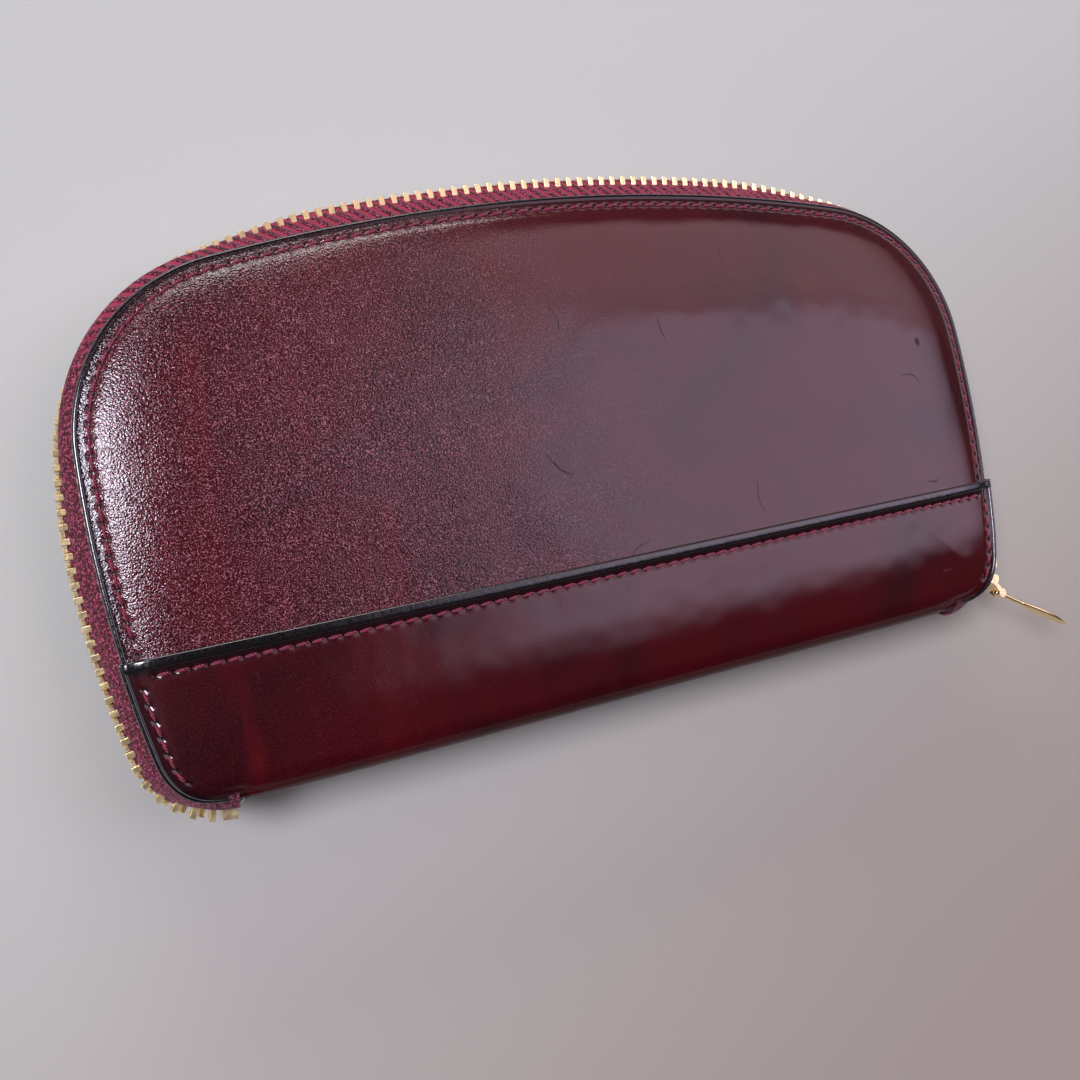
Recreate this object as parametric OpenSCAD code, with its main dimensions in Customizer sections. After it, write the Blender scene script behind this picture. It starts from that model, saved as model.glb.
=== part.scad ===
// Zip-around long wallet with a domed top and a band that wraps round its spine.
// It lies on its back cover. Units: mm.
// +X runs along the spine, +Y from the spine to the dome, +Z out of the front cover.
// Heights on a cover are measured up from the spine, thicknesses in from its outer face.

/* [Outline] */
// Width across the widest part of a cover
panel_w = 195; // [160:1:235]
// Height of a cover from the spine to the top of the dome
panel_h = 101.5; // [84:0.5:122]
// Rise of the dome between its shoulders
dome_rise = 5.8; // [4:0.1:8]
// Radius of the shoulders
shoulder_r = 34.3; // [28:0.1:42]
// Heading at which a shoulder runs into the side
shoulder_end = 87; // [84:0.5:89]
// Heading at which the side runs into the lower corner
side_end = 101; // [99:0.5:104]
// Radius of the lower corners
corner_r = 12; // [10:0.5:15]

/* [Covers] */
// Thickness of the closed wallet
total_t = 25; // [24.5:0.1:30]
// Height of the band up the cover
band_h = 27.5; // [22:0.5:33]
// Width of the painted edge along the top of the band
band_edge_w = 2.2; // [1.6:0.1:2.8]
// How far the band stands past the cover's edge
band_over = 0.7; // [0.3:0.1:0.9]
// Width of the painted edge round the cover
edge_w = 1.3; // [1:0.1:1.6]
// Distance of the seam from the cover's edge
seam_inset = 2.7; // [2.2:0.1:3.3]
// Spacing of the stitches
stitch_pitch = 2.9; // [2.4:0.1:3.5]
// Visible length of one stitch
stitch_len = 2; // [1.6:0.1:2.2]
// Height of the step from one card pocket to the next
card_step = 13; // [10:0.5:13.5]

/* [Zip] */
// Spacing of the teeth along one tape
tooth_pitch = 2.5; // [2.4:0.1:3]
// Distance of the chain outside the cover's edge
chain_out = 3.1; // [2.7:0.1:3.5]
// Angle of the link below the long direction
link_drop = 59.5; // [50:0.5:68]
// Angle of the pull below the long direction
pull_drop = 31; // [26:0.5:38]
// Length of the leaf pull
pull_len = 23.5; // [21:0.5:27]

/* [Coin pocket] */
// Clear width inside the coin pocket
coin_gap = 4.6; // [4.4:0.1:5.5]
// Distance from the cover's widest edge to the pocket's side
pocket_clear = 9.5; // [9:0.5:12]
// Distance from the top of the dome to the pocket's mouth
pocket_drop = 31; // [27:0.5:37]

/* [Hidden] */
$fn = 48;

half_y = panel_h / 2;
mid_z = total_t / 2;

// Depth of each layer's inner face below the outer face of its cover
raise = 1;
skin_z = 2.2;
board_z = 2.8;
lining_z = 3.3;
backing_z = 3.8;
tier_t = 0.45;
groove = 0.4;
groove_w = 0.7;
thread_w = 0.5;

// Insets of the layers from the cover's edge
pad_inset = 6;
lining_inset = 2.5;
flange_inset = 9;
board_inset = 9.3;

// Heights of the layers' lower edges above the spine
pad_low = band_h + 2;
lining_low = 6;
board_low = 10;
pocket_low = 8;

// Band and spine
wrap_r = 5;
leather_t = 1;
foot_h = wrap_r - leather_t;
spine_board_t = 0.8;
spine_board_h = 13;
spine_inset = 3;

// Zip: the tape stands up from the cover to its edge, where the teeth are clamped
tape_t = 0.6;
tape_edge_z = mid_z - 2.5;
tooth_t = 2.4;
tooth_w = 1.05;
tooth_reach = 0.6;
stop_len = 2.6;
chain_end = 168;
bottom_stop_at = 174;
top_stop_at = 132;
slider_at = side_end;
tape_clear = 0.2;

// Seam along the band's upper edge
band_seam_y = band_h - band_edge_w - 1 - half_y;
band_stitches = floor((panel_w / 2 - seam_inset - 5) / stitch_pitch);

// Coin pocket
coin_wall_t = 0.6;
coin_wall_z = mid_z - coin_gap / 2 - coin_wall_t;
coin_in_z = coin_wall_z + coin_wall_t;
coin_w = panel_w - 2 * pocket_clear;
coin_top = panel_h - pocket_drop;
coin_margin = 1.5;
coin_slider_x = coin_w / 2 - 18;
coin_lug_y = 2.65;

// Folded side gussets, with the cards between them
gusset_t = 0.4;
gusset_x = coin_w / 2 - 5;
gusset_leg = 6.5;
gusset_r = (coin_wall_z - lining_z) / 2;
gusset_z = (coin_wall_z + lining_z) / 2;
gusset_low = pocket_low + 2;
gusset_h = coin_top - 8.5 - gusset_low;
card_w = 2 * (gusset_x - gusset_r) - 1.7;
card_top = coin_top - 4.5;

// Arcs of the outline: dome, shoulder, side and lower corner
side_r = (panel_h - dome_rise - shoulder_r * (1 - cos(shoulder_end))
  - corner_r * (1 + cos(side_end))) / (cos(shoulder_end) - cos(side_end));
dome_x = panel_w / 2 - shoulder_r * sin(shoulder_end) - side_r * (1 - sin(shoulder_end));
dome_a = 2 * atan(dome_rise / dome_x);
dome_r = shoulder_r + dome_x / sin(dome_a);
c4 = [panel_w / 2 - side_r + (side_r - corner_r) * sin(side_end), corner_r];
c3 = [panel_w / 2 - side_r, corner_r - (side_r - corner_r) * cos(side_end)];
c2 = [c3[0] + (side_r - shoulder_r) * sin(shoulder_end),
  c3[1] + (side_r - shoulder_r) * cos(shoulder_end)];
c1 = [0, panel_h - dome_r];
foot_x = c4[0];

function arc(c, r, a, b, n) =
  [for (i = [1:n]) let (t = a + (b - a) * i / n) [c[0] + r * sin(t), c[1] + r * cos(t)]];
function half_outline(d) = concat(
  arc(c1, dome_r + d, 0, dome_a, 7), arc(c2, shoulder_r + d, dome_a, shoulder_end, 12),
  arc(c3, side_r + d, shoulder_end, side_end, 5), arc(c4, corner_r + d, side_end, 180, 8));
function flipped(p) = [for (i = [len(p) - 1:-1:0]) [-p[i][0], p[i][1]]];

module outline(d) {
  translate([0, -half_y])
    polygon(concat([[0, panel_h + d]], half_outline(d), flipped(half_outline(d))));
}
module ring(outer, inner) {
  difference() {
    outline(outer);
    outline(inner);
  }
}
module below(h) {
  translate([-panel_w, -half_y - 20]) square([2 * panel_w, h + 20]);
}
module slab(z0, z1) {
  translate([0, 0, z0]) linear_extrude(z1 - z0) children();
}
module to_front() {
  translate([0, 0, total_t]) mirror([0, 0, 1]) children();
}
module foot_notch(h) {
  translate([-foot_x, -half_y - 5]) square([2 * foot_x, h + 5]);
}
// a run of pieces spread evenly along an arc of the outline
module along(c, r, a, b, pitch, shift) {
  n = floor(abs(b - a) * PI / 180 * r / pitch);
  for (i = [0:n - 1]) {
    t = a + (b - a) * (i + shift) / n;
    translate([c[0] + r * sin(t), c[1] + r * cos(t) - half_y]) rotate(-t) children();
  }
}

module seam_ring() {
  ring(-seam_inset + groove_w / 2, -seam_inset - groove_w / 2);
}

module cover_skin() {
  slab(raise, skin_z) difference() {
    outline(-edge_w);
    foot_notch(foot_h);
  }
  slab(0, raise) difference() {
    outline(-pad_inset);
    below(pad_low);
  }
}
module cover_panel() {
  difference() {
    cover_skin();
    slab(0, raise + groove) difference() {
      seam_ring();
      below(band_h);
    }
  }
}
module cover_edge() {
  slab(raise, skin_z) difference() {
    ring(0, -edge_w);
    foot_notch(foot_h);
  }
}
module band_plan() {
  difference() {
    intersection() {
      outline(band_over);
      below(band_h - band_edge_w);
    }
    foot_notch(foot_h);
  }
}
module cover_band() {
  difference() {
    slab(0, raise) band_plan();
    slab(-1, groove) difference() {
      seam_ring();
      foot_notch(foot_h + 2);
    }
    slab(-1, groove) translate([0, band_seam_y])
      square([panel_w - 2 * seam_inset, groove_w], center = true);
  }
}
module cover_band_edge() {
  slab(0, raise) intersection() {
    outline(band_over);
    translate([-panel_w, band_h - band_edge_w - half_y]) square([2 * panel_w, band_edge_w]);
  }
}
module stitch() {
  square([stitch_len, thread_w], center = true);
}
module seam_arcs() {
  along(c1, dome_r - seam_inset, -dome_a, dome_a, stitch_pitch, 0.5) stitch();
  for (m = [0, 1]) mirror([m, 0]) {
    along(c2, shoulder_r - seam_inset, dome_a, shoulder_end, stitch_pitch, 0.5) stitch();
    along(c3, side_r - seam_inset, shoulder_end, side_end, stitch_pitch, 0.5) stitch();
  }
}
module cover_stitching() {
  slab(raise, raise + groove) difference() {
    seam_arcs();
    below(band_h + 1.2);
  }
  slab(0, groove) {
    intersection() {
      seam_arcs();
      below(band_h - 6);
    }
    for (m = [0, 1]) mirror([m, 0])
      along(c4, corner_r - seam_inset, side_end, 125, stitch_pitch, 0.5) stitch();
    for (i = [-band_stitches:band_stitches])
      translate([i * stitch_pitch, band_seam_y]) stitch();
  }
}
module cover_stiffener() {
  slab(skin_z, board_z) difference() {
    outline(-board_inset);
    below(board_low);
  }
}
module cover_lining() {
  slab(board_z, lining_z) difference() {
    outline(-lining_inset);
    below(lining_low);
  }
}
module card_plan(low, high) {
  translate([-card_w / 2, low - half_y]) square([card_w, high - low]);
}
module cover_backing() {
  slab(lining_z, backing_z) card_plan(pocket_low, card_top);
}
module cover_tier(k) {
  slab(backing_z + (k - 1) * tier_t, backing_z + k * tier_t)
    card_plan(pocket_low, card_top - k * card_step);
}
module cover_tape() {
  difference() {
    union() {
      slab(skin_z, board_z) ring(chain_out + tape_t / 2, -flange_inset);
      slab(skin_z, tape_edge_z) ring(chain_out + tape_t / 2, chain_out - tape_t / 2);
    }
    translate([-foot_x - tape_clear, -half_y - 5, 0])
      cube([2 * (foot_x + tape_clear), 20, mid_z]);
  }
}
module tooth() {
  square([tooth_w, tooth_t], center = true);
}
module chain_plan(s) {
  along(c1, dome_r + chain_out, -dome_a, dome_a, tooth_pitch, s) tooth();
  for (m = [0, 1]) mirror([m, 0]) {
    along(c2, shoulder_r + chain_out, dome_a, shoulder_end, tooth_pitch, m ? 1 - s : s) tooth();
    along(c3, side_r + chain_out, shoulder_end, side_end, tooth_pitch, m ? 1 - s : s) tooth();
  }
  mirror([1, 0]) along(c4, corner_r + chain_out, side_end, chain_end, tooth_pitch, 1 - s) tooth();
}
module cover_teeth(s) {
  slab(tape_edge_z, mid_z + tooth_reach) chain_plan(s);
}
module stop_plan(side, heading) {
  translate([side * c4[0], c4[1] - half_y]) rotate(-side * heading)
    translate([0, corner_r + chain_out]) square([stop_len, tooth_t], center = true);
}
module cover_top_stop() {
  slab(tape_edge_z, tape_edge_z + 1.6) stop_plan(1, top_stop_at);
}
// a strip folded inward between a cover and the coin pocket
module gusset() {
  translate([gusset_x, gusset_low + gusset_h - half_y, 0]) rotate([90, 0, 0])
    linear_extrude(gusset_h) {
      translate([0, lining_z]) square([gusset_leg, gusset_t]);
      translate([0, coin_wall_z - gusset_t]) square([gusset_leg, gusset_t]);
      translate([0, gusset_z]) difference() {
        circle(gusset_r);
        circle(gusset_r - gusset_t);
        translate([0, -gusset_r]) square(2 * gusset_r);
      }
    }
}
module coin_wall() {
  wall_x = coin_w / 2 + coin_margin;
  slab(coin_wall_z, coin_in_z) difference() {
    translate([-wall_x, pocket_low - half_y]) square([2 * wall_x, coin_top - pocket_low]);
    for (m = [0, 1]) mirror([m, 0])
      translate([wall_x, pocket_low - half_y]) rotate(45) square(5, center = true);
  }
}
module coin_tape() {
  tape_w = coin_w - 2;
  slab(coin_in_z, coin_in_z + 0.5) translate([-tape_w / 2, coin_top - 8.5 - half_y])
    square([tape_w, 8.5]);
  slab(coin_in_z + 0.5, mid_z - 1.2) translate([-tape_w / 2, coin_top - 0.5 - half_y])
    square([tape_w, 0.5]);
}
module coin_teeth(s) {
  first = -floor((coin_w / 2 - 10) / tooth_pitch);
  last = floor((coin_slider_x - 4) / tooth_pitch);
  slab(mid_z - 1.2, mid_z + 0.5)
    for (i = [first:last]) translate([(i + s) * tooth_pitch, coin_top - 0.25 - half_y])
      square([tooth_w, 1.6], center = true);
}
module at_slider() {
  translate([c3[0] + (side_r + chain_out) * sin(slider_at),
    c3[1] + (side_r + chain_out) * cos(slider_at) - half_y, mid_z])
    rotate([0, 0, 90 - slider_at]) children();
}
module plate_plan(low) {
  polygon([[low, -3.2], [low + 1.4, -4.4], [0, -4.4], [5, -3.4],
    [5, 3.4], [0, 4.4], [low + 1.4, 4.4], [low, 3.2]]);
}
// the plate lies in the plane of the chain, its length along the chain
module plate(x, t, low) {
  translate([x, 0, 0]) rotate([90, 0, 90]) linear_extrude(t) plate_plan(low);
}
pin_x = 5.4;
pin_y = -5.2;
link_len = 4.6;
crown_x = 7.2;
module main_slider() {
  plate(1.4, 1.1, -5);
  plate(-2.4, 1, -3);
  translate([-1.4, 0, 0]) rotate([90, 0, 90]) linear_extrude(2.8)
    polygon([[-2.9, -1.2], [-0.3, -0.3], [-0.3, 0.3], [-2.9, 1.2]]);
  for (m = [0, 1]) mirror([0, 0, m]) {
    translate([0.7, 1, 2.9]) cube([0.7, 4, 0.6]);
    translate([-1.4, 1, 2.9]) cube([0.7, 4, 0.6]);
  }
  translate([0, 0, -1.2]) linear_extrude(2.4) difference() {
    translate([2.5, -2.8]) square([crown_x - 2.5, 7.1]);
    translate([2.5, -1.9]) square([crown_x - 3.4, 5.3]);
    translate([crown_x, 4.3]) rotate(45) square(1.6, center = true);
    translate([crown_x, -2.8]) rotate(45) square(0.9, center = true);
  }
  for (m = [0, 1]) mirror([0, 0, m]) translate([0, 0, 1.75]) linear_extrude(0.8)
    difference() {
      union() {
        translate([2.5, pin_y - 1]) square([pin_x - 2.5, 2]);
        translate([pin_x, pin_y]) circle(1);
      }
      translate([pin_x, pin_y]) circle(0.6);
    }
}
module at_link() {
  at_slider() translate([pin_x, pin_y, 0]) rotate([0, 0, slider_at - 90 - link_drop])
    children();
}
module link_shape() {
  difference() {
    union() {
      translate([0, 0, -1.6]) cylinder(r = 1.15, h = 3.2);
      translate([0, -0.5, -1.6]) cube([3.2, 1, 3.2]);
    }
    translate([0, 0, -2]) cylinder(r = 0.65, h = 4);
  }
  for (m = [0, 1]) mirror([0, 0, m]) translate([0, 0, 0.85]) {
    translate([3, -0.5, 0]) cube([1.6, 1, 0.75]);
    translate([link_len, 0, 0]) cylinder(r = 1.05, h = 0.75);
  }
  translate([link_len, 0, -1]) cylinder(r = 0.5, h = 2);
}
// half the blade's outline, from its neck to its tip
function leaf_side(s) = [for (i = [0:12])
  let (u = s < 0 ? i / 12 : 1 - i / 12)
  [pull_len * (1 + 2 * u) / 3, s * (0.7 * (1 - u) + 1.9 * pow(sin(180 * pow(u, 0.9)), 0.8))]];
module tab_shape() {
  difference() {
    union() {
      translate([0, 0, -0.7]) cylinder(r = 1.05, h = 1.4);
      translate([0, -0.4, -0.7]) cube([pull_len / 3 + 0.5, 0.8, 1.4]);
      translate([0, 0.5, 0]) rotate([90, 0, 0]) linear_extrude(1)
        polygon(concat(leaf_side(-1), leaf_side(1)));
    }
    translate([0, 0, -2]) cylinder(r = 0.56, h = 4);
  }
}
// Coin slider: upper plate, lower plate, post between them and two lugs with a pin
module coin_runner() {
  translate([-4, 0.75, -2.9]) cube([8, 0.7, 5.8]);
  translate([-4, -1.95, -1.5]) cube([8, 0.7, 3]);
  translate([1.6, -1.25, -0.45]) cube([1.6, 2, 0.9]);
  for (m = [0, 1]) mirror([0, 0, m]) translate([-0.9, 1.45, 1]) cube([1.8, 2, 0.6]);
  translate([0, coin_lug_y, -1.6]) cylinder(r = 0.5, h = 3.2);
}
module coin_tab() {
  difference() {
    union() {
      translate([0, 0, -0.85]) cylinder(r = 0.95, h = 1.7);
      translate([0, -0.4, -0.85]) cube([5, 0.8, 1.7]);
      translate([4.4, -0.4, -1.7]) cube([8.4, 0.8, 3.4]);
      translate([12.8, 0.4, 0]) rotate([90, 0, 0]) cylinder(r = 1.7, h = 0.8);
    }
    translate([0, 0, -2]) cylinder(r = 0.56, h = 4);
  }
}

module front_panel() {
  color("#6b1424") to_front() cover_panel();
}
module back_panel() {
  color("#6b1424") cover_panel();
}
module front_edge_paint() {
  color("#17100f") to_front() cover_edge();
}
module back_edge_paint() {
  color("#17100f") cover_edge();
}
module front_band() {
  color("#5c0f1c") to_front() cover_band();
}
module back_band() {
  color("#5c0f1c") cover_band();
}
module front_band_edge() {
  color("#1a1112") to_front() cover_band_edge();
}
module back_band_edge() {
  color("#1a1112") cover_band_edge();
}
module front_stitching() {
  color("#9b2f48") to_front() cover_stitching();
}
module back_stitching() {
  color("#9b2f48") cover_stitching();
}
module front_stiffener() {
  color("#8f867a") to_front() cover_stiffener();
}
module back_stiffener() {
  color("#8f867a") cover_stiffener();
}
module front_lining() {
  color("#4a1a22") to_front() cover_lining();
}
module back_lining() {
  color("#4a1a22") cover_lining();
}
module front_card_backing() {
  color("#571522") to_front() cover_backing();
}
module back_card_backing() {
  color("#571522") cover_backing();
}
module front_card_tier_1() {
  color("#641826") to_front() cover_tier(1);
}
module front_card_tier_2() {
  color("#6d1b2a") to_front() cover_tier(2);
}
module front_card_tier_3() {
  color("#761e2e") to_front() cover_tier(3);
}
module back_card_tier_1() {
  color("#641826") cover_tier(1);
}
module back_card_tier_2() {
  color("#6d1b2a") cover_tier(2);
}
module back_card_tier_3() {
  color("#761e2e") cover_tier(3);
}
module front_zip_tape() {
  color("#8b1d3a") to_front() cover_tape();
}
module back_zip_tape() {
  color("#8b1d3a") cover_tape();
}
module front_zip_teeth() {
  color("#d9c178") to_front() cover_teeth(0.25);
}
module back_zip_teeth() {
  color("#d9c178") cover_teeth(0.75);
}
module front_top_stop() {
  color("#cbb268") to_front() cover_top_stop();
}
module back_top_stop() {
  color("#cbb268") cover_top_stop();
}
module zip_bottom_stop() {
  color("#cbb268") slab(tape_edge_z, total_t - tape_edge_z) stop_plan(-1, bottom_stop_at);
}
module spine_wrap() {
  color("#560e1a") translate([-foot_x, -half_y, 0]) rotate([90, 0, 90])
    linear_extrude(2 * foot_x) difference() {
      union() {
        for (z = [wrap_r, total_t - wrap_r]) translate([foot_h, z]) circle(wrap_r);
        translate([-leather_t, wrap_r]) square([2, total_t - 2 * wrap_r]);
      }
      for (z = [wrap_r, total_t - wrap_r]) translate([foot_h, z]) circle(foot_h);
      translate([0, wrap_r]) square([20, total_t - 2 * wrap_r]);
      translate([foot_h, -5]) square([20, total_t + 10]);
    }
}
module spine_board() {
  color("#8f867a") slab(mid_z - spine_board_h / 2, mid_z + spine_board_h / 2)
    translate([-foot_x + spine_inset, -half_y])
    square([2 * (foot_x - spine_inset), spine_board_t]);
}
module pocket_tongue() {
  color("#4d1520") slab(mid_z - 0.3, mid_z + 0.3)
    translate([-foot_x + 7, spine_board_t - half_y])
    square([2 * (foot_x - 7), gusset_low - spine_board_t]);
}
module coin_wall_front() {
  color("#551724") to_front() coin_wall();
}
module coin_wall_rear() {
  color("#551724") coin_wall();
}
module coin_edge_strip() {
  color("#4d1520") slab(coin_in_z, coin_in_z + coin_gap) difference() {
    translate([-coin_w / 2, gusset_low - half_y])
      square([coin_w, coin_top - 12.5 - gusset_low]);
    translate([-coin_w / 2 + coin_wall_t, gusset_low + coin_wall_t - half_y])
      square([coin_w - 2 * coin_wall_t, coin_top]);
  }
}
module coin_tape_front() {
  color("#7d1b34") to_front() coin_tape();
}
module coin_tape_rear() {
  color("#7d1b34") coin_tape();
}
module coin_teeth_front() {
  color("#d9c178") to_front() coin_teeth(0);
}
module coin_teeth_rear() {
  color("#d9c178") coin_teeth(0.5);
}
module coin_slider_body() {
  color("#d2b96e") translate([coin_slider_x, coin_top - half_y, mid_z]) coin_runner();
}
module coin_pull() {
  color("#dcc47c") translate([coin_slider_x, coin_top + coin_lug_y - half_y, mid_z])
    rotate([0, 0, 165]) coin_tab();
}
module gusset_left_front() {
  color("#611a28") to_front() mirror([1, 0, 0]) gusset();
}
module gusset_right_front() {
  color("#611a28") to_front() gusset();
}
module gusset_left_rear() {
  color("#611a28") mirror([1, 0, 0]) gusset();
}
module gusset_right_rear() {
  color("#611a28") gusset();
}
module slider_body() {
  color("#d6bd72") at_slider() main_slider();
}
module slider_pin() {
  color("#c4ab62") at_slider() translate([pin_x, pin_y, -2.55]) cylinder(r = 0.6, h = 5.1);
}
module pull_link() {
  color("#dcc47c") at_link() link_shape();
}
module pull_tab() {
  color("#dfc880") at_link() translate([link_len, 0, 0])
    rotate([0, 0, link_drop - pull_drop]) tab_shape();
}

front_panel();
back_panel();
front_edge_paint();
back_edge_paint();
front_band();
back_band();
front_band_edge();
back_band_edge();
front_stitching();
back_stitching();
front_stiffener();
back_stiffener();
front_lining();
back_lining();
front_card_backing();
back_card_backing();
front_card_tier_1();
front_card_tier_2();
front_card_tier_3();
back_card_tier_1();
back_card_tier_2();
back_card_tier_3();
front_zip_tape();
back_zip_tape();
front_zip_teeth();
back_zip_teeth();
front_top_stop();
back_top_stop();
zip_bottom_stop();
spine_wrap();
spine_board();
pocket_tongue();
coin_wall_front();
coin_wall_rear();
coin_edge_strip();
coin_tape_front();
coin_tape_rear();
coin_teeth_front();
coin_teeth_rear();
coin_slider_body();
coin_pull();
gusset_left_front();
gusset_right_front();
gusset_left_rear();
gusset_right_rear();
slider_body();
slider_pin();
pull_link();
pull_tab();
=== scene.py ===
"""Looks of the domed zip-around wallet: leather covers, wrapped band, woven zip and its fittings.

Lengths in this file are in millimetres and become metres in make_mesh and at the CAD's values.
A point on a cover is (x, h, t): x along the spine, h up from the spine, t out from the chain's plane.
"""
import math

import bpy
import numpy as np
from mathutils import Matrix, Vector


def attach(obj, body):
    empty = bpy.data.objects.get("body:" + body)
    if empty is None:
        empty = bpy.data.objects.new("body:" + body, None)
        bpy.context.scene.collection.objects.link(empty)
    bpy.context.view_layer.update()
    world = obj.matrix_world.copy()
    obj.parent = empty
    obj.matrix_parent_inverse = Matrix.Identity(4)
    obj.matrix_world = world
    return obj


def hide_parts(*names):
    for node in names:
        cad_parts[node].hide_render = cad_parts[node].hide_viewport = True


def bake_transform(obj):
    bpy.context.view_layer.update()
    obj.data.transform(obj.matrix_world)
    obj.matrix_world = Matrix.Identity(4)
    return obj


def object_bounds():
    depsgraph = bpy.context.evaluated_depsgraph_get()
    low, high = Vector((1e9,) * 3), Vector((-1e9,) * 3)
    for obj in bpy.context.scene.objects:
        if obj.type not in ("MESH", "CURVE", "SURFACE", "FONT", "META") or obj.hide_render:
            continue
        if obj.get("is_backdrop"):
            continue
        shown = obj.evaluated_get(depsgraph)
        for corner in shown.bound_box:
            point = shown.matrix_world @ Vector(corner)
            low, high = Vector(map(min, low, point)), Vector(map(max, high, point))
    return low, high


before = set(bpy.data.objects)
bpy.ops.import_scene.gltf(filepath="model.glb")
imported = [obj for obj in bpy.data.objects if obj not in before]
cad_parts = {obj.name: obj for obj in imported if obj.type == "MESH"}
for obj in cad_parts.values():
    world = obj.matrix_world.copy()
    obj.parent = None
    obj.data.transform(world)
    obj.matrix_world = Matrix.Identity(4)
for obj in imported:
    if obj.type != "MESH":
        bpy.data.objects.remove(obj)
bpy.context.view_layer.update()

MM = 0.001
# ---------------------------------------------------------------- sizes, as in the CAD model
PANEL_W = 195.0
PANEL_H = 101.5
DOME_RISE = 5.8
SHOULDER_R = 34.3
SHOULDER_END = math.radians(87)
SIDE_END = math.radians(101)
CORNER_R = 12.0
TOTAL_T = 25.0
MID = TOTAL_T / 2
HALF_Y = PANEL_H / 2
BAND_H = 27.5
BAND_EDGE_W = 2.2
BAND_OVER = 0.7
SEAM_INSET = 2.7
STITCH_PITCH = 2.9
TOOTH_PITCH = 2.5
COIN_W = 176.0
COIN_TOP = 70.5
POCKET_LOW = 8.0
COIN_WALL = 2.9
COIN_IN = 2.3
GUSSET_X = 83.0
CARD_W = 158.0
CARD_TOP = 66.0
CARD_STEP = 13.0

# ---------------------------------------------------------------- the cover's padded shape
RIM_SPINE = 10.9
RIM_DOME = 6.6
PANEL_LOW = 19.0
PUFF_LOW = 1.1
PUFF_HIGH = 3.9
PUFF_REACH = 7.5
SEAM_DIP = 0.18
HOLE_DEPTH = 0.45
SKIN_T = 1.3
BAND_LIFT = 0.6
BAND_T = 0.9
ROLL_R = 6.0
ROLL_H = 5.1
SPINE_FALL = 0.005
SPINE_FALL_FROM = 17.0
CHAIN_DOME = 3.8
CHAIN_SHOULDER = 0.8
CHAIN_SIDE = 3.2


def smoothstep(a, b, v):
    t = np.clip((np.asarray(v, float) - a) / (b - a), 0.0, 1.0)
    return t * t * (3 - 2 * t)


# ---------------------------------------------------------------- outline
SIDE_R = (PANEL_H - DOME_RISE - SHOULDER_R * (1 - math.cos(SHOULDER_END))
          - CORNER_R * (1 + math.cos(SIDE_END))) / (math.cos(SHOULDER_END) - math.cos(SIDE_END))
DOME_X = PANEL_W / 2 - SHOULDER_R * math.sin(SHOULDER_END) - SIDE_R * (1 - math.sin(SHOULDER_END))
DOME_A = 2 * math.atan(DOME_RISE / DOME_X)
DOME_R = SHOULDER_R + DOME_X / math.sin(DOME_A)
CORNER_C = (PANEL_W / 2 - SIDE_R + (SIDE_R - CORNER_R) * math.sin(SIDE_END), CORNER_R)
SIDE_C = (PANEL_W / 2 - SIDE_R, CORNER_R - (SIDE_R - CORNER_R) * math.cos(SIDE_END))
SHOULDER_C = (SIDE_C[0] + (SIDE_R - SHOULDER_R) * math.sin(SHOULDER_END),
              SIDE_C[1] + (SIDE_R - SHOULDER_R) * math.cos(SHOULDER_END))
DOME_C = (0.0, PANEL_H - DOME_R)
FOOT_X = CORNER_C[0]


def outline_arcs():
    """Arcs from the left foot over the dome to the right foot: centre, radius, start and end heading."""
    right = [(SHOULDER_C, SHOULDER_R, DOME_A, SHOULDER_END), (SIDE_C, SIDE_R, SHOULDER_END, SIDE_END),
             (CORNER_C, CORNER_R, SIDE_END, math.pi)]
    left = [((-c[0], c[1]), r, -b, -a) for c, r, a, b in reversed(right)]
    return left + [(DOME_C, DOME_R, -DOME_A, DOME_A)] + right


ARCS = outline_arcs()
ARC_ENDS = np.cumsum([0.0] + [r * (b - a) for _, r, a, b in ARCS])
RIM_LENGTH = float(ARC_ENDS[-1])


def rim(s):
    """Points on the outline at the distances s along it, and the outward directions there."""
    s = np.clip(np.asarray(s, float), 0.0, RIM_LENGTH)
    which = np.clip(np.searchsorted(ARC_ENDS, s, side="right") - 1, 0, len(ARCS) - 1)
    centre = np.array([ARCS[i][0] for i in which])
    radius = np.array([ARCS[i][1] for i in which])
    start = np.array([ARCS[i][2] for i in which])
    heading = start + (s - ARC_ENDS[which]) / radius
    out = np.stack([np.sin(heading), np.cos(heading)], 1)
    return centre + radius[:, None] * out, out


def edge_distance(x, h):
    """Distance in from the outline, leaving out the straight spine."""
    x, h = np.asarray(x, float), np.asarray(h, float)
    best = np.minimum(np.hypot(x - FOOT_X, h), np.hypot(x + FOOT_X, h))
    for c, r, a, b in ARCS:
        heading = np.arctan2(x - c[0], h - c[1])
        inside = r - np.hypot(x - c[0], h - c[1])
        on_arc = (heading >= a - 1e-6) & (heading <= b + 1e-6)
        best = np.where(on_arc, np.minimum(best, inside), best)
    return best


def rim_t(h):
    """Half thickness at the cover's edge, at height h."""
    return RIM_SPINE + (RIM_DOME - RIM_SPINE) * np.clip(np.asarray(h, float) / PANEL_H, 0, 1)


def cover_t(x, h, d=None):
    """Half thickness of the padded cover's outer face."""
    d = edge_distance(x, h) if d is None else d
    puff = PUFF_LOW + (PUFF_HIGH - PUFF_LOW) * smoothstep(0, 60, h)
    rise = 1 - np.exp(-np.maximum(d - 1.2, 0) / PUFF_REACH)
    dip = SEAM_DIP * np.exp(-((d - SEAM_INSET) / 0.7) ** 2)
    fall = SPINE_FALL * np.maximum(SPINE_FALL_FROM - h, 0) ** 2
    return rim_t(h) + puff * rise - dip - fall


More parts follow.
